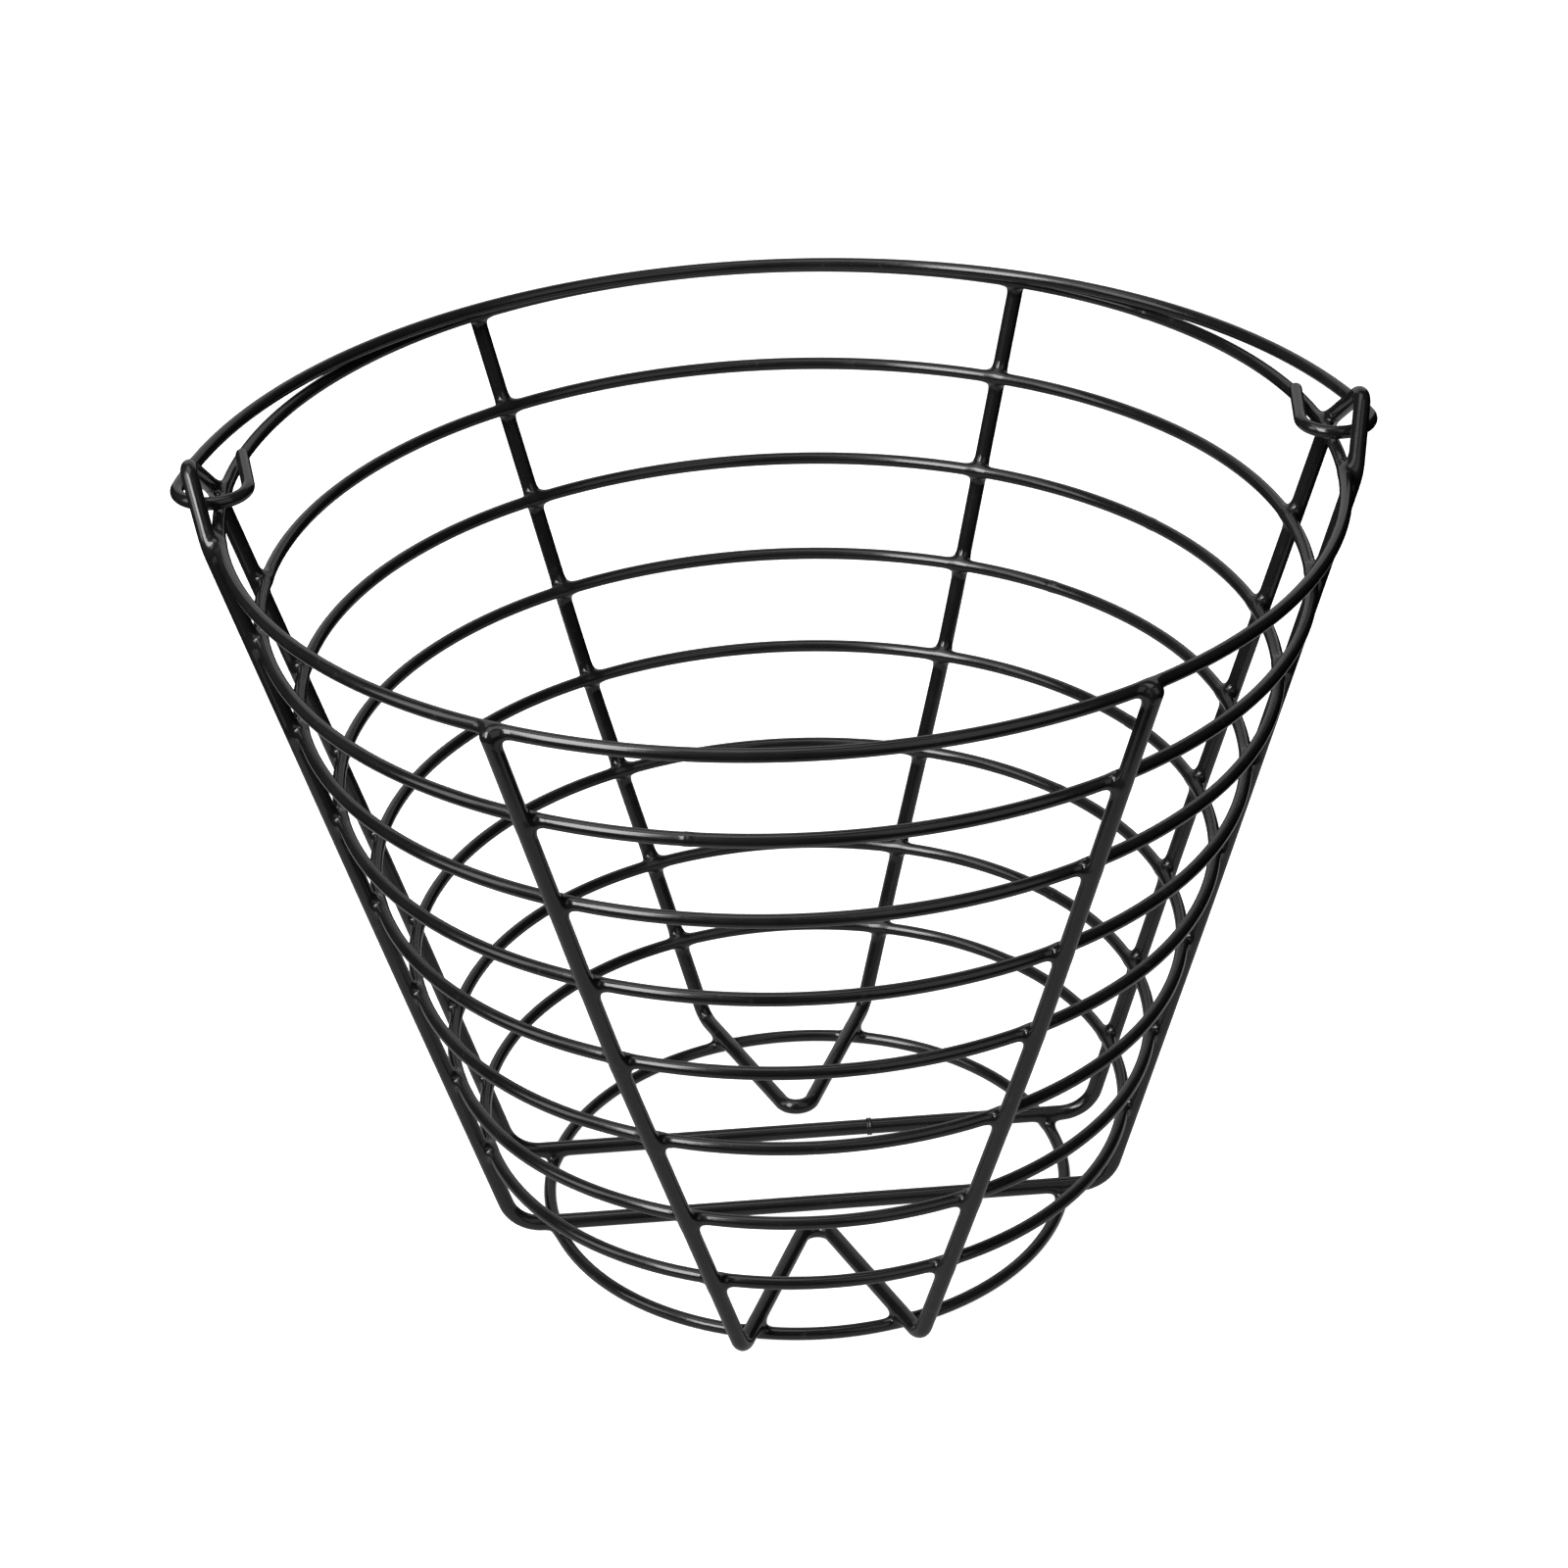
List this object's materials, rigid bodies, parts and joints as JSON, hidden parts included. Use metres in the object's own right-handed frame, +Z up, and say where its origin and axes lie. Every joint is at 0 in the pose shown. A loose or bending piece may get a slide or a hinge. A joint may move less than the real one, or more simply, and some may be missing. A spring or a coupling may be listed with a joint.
{
  "type": "egg collection basket",
  "caption": "Round tapered wire basket of welded hoops on bent rib wires, open at the top, with a fold-down bail handle hooked through an ear loop on each side.",
  "frame": {"origin": "on the basket axis, at the plane the foot ring stands on", "axes": "+Z up, +X through the two handle ears, +Y towards the back, where the handle lies folded"},
  "size_m": [0.3594, 0.3346, 0.2709],
  "materials": {
    "wire_coat": "satin black plastic coating over steel wire",
    "weld_coat": "the same satin black coating pooled over resistance welds",
    "handle_coat": "satin black plastic coating over steel wire"
  },
  "bodies": {
    "basket": {"rim_hoop": "wire_coat", "hoop_1": "wire_coat", "hoop_2": "wire_coat", "hoop_3": "wire_coat", "hoop_4": "wire_coat", "hoop_5": "wire_coat", "hoop_6": "wire_coat", "hoop_7": "wire_coat", "foot_ring": "wire_coat", "front_vee_wire": "wire_coat", "back_vee_wire": "wire_coat", "side_frame_wire": "wire_coat", "rim_hoop_welds": "weld_coat", "hoop_1_welds": "weld_coat", "hoop_2_welds": "weld_coat", "hoop_3_welds": "weld_coat", "hoop_4_welds": "weld_coat", "hoop_5_welds": "weld_coat", "hoop_6_welds": "weld_coat", "hoop_7_welds": "weld_coat", "foot_ring_welds": "weld_coat", "side_frame_seam": "weld_coat"},
    "handle": {"bail_handle": "handle_coat"}
  },
  "joints": [
    {"name": "handle_swing", "type": "hinge", "parent": "basket", "child": "handle", "pos_m": [0, 0, 0.257], "axis": [1, 0, 0], "range_deg": [0, 180]}
  ]
}
